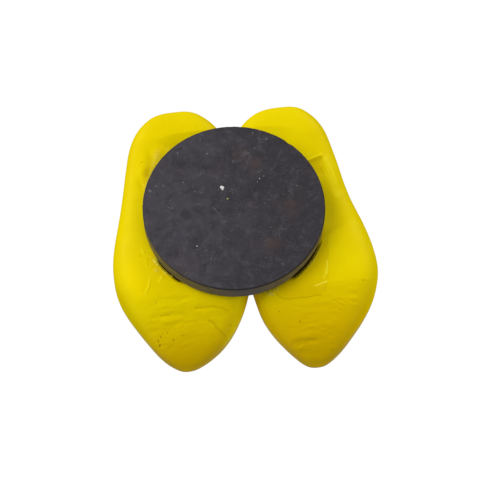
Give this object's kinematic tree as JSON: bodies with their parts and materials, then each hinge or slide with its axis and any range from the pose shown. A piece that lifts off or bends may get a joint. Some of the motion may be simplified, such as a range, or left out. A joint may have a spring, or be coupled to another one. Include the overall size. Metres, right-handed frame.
{
  "type": "pair of wooden clogs fridge magnet",
  "caption": "Pair of small lacquered wooden clogs joined side by side, with a round ferrite magnet glued across both soles to hold them on a steel surface.",
  "frame": {"origin": "centre of the ferrite disc's gripping face", "axes": "+Y is the gripping face's outward normal, +Z runs from the toes up to the heels, and the clogs are open on the -Y side"},
  "size_m": [0.0438, 0.022, 0.0472],
  "materials": {
    "yellow_lacquered_wood": "satin",
    "sintered_ferrite": "matte",
    "clear_glue": "gloss"
  },
  "bodies": {
    "root": {"right_clog": "yellow_lacquered_wood", "left_clog": "yellow_lacquered_wood", "ferrite_disc": "sintered_ferrite", "right_glue_pad": "clear_glue", "left_glue_pad": "clear_glue", "clog_joint_glue": "clear_glue"}
  },
  "joints": []
}
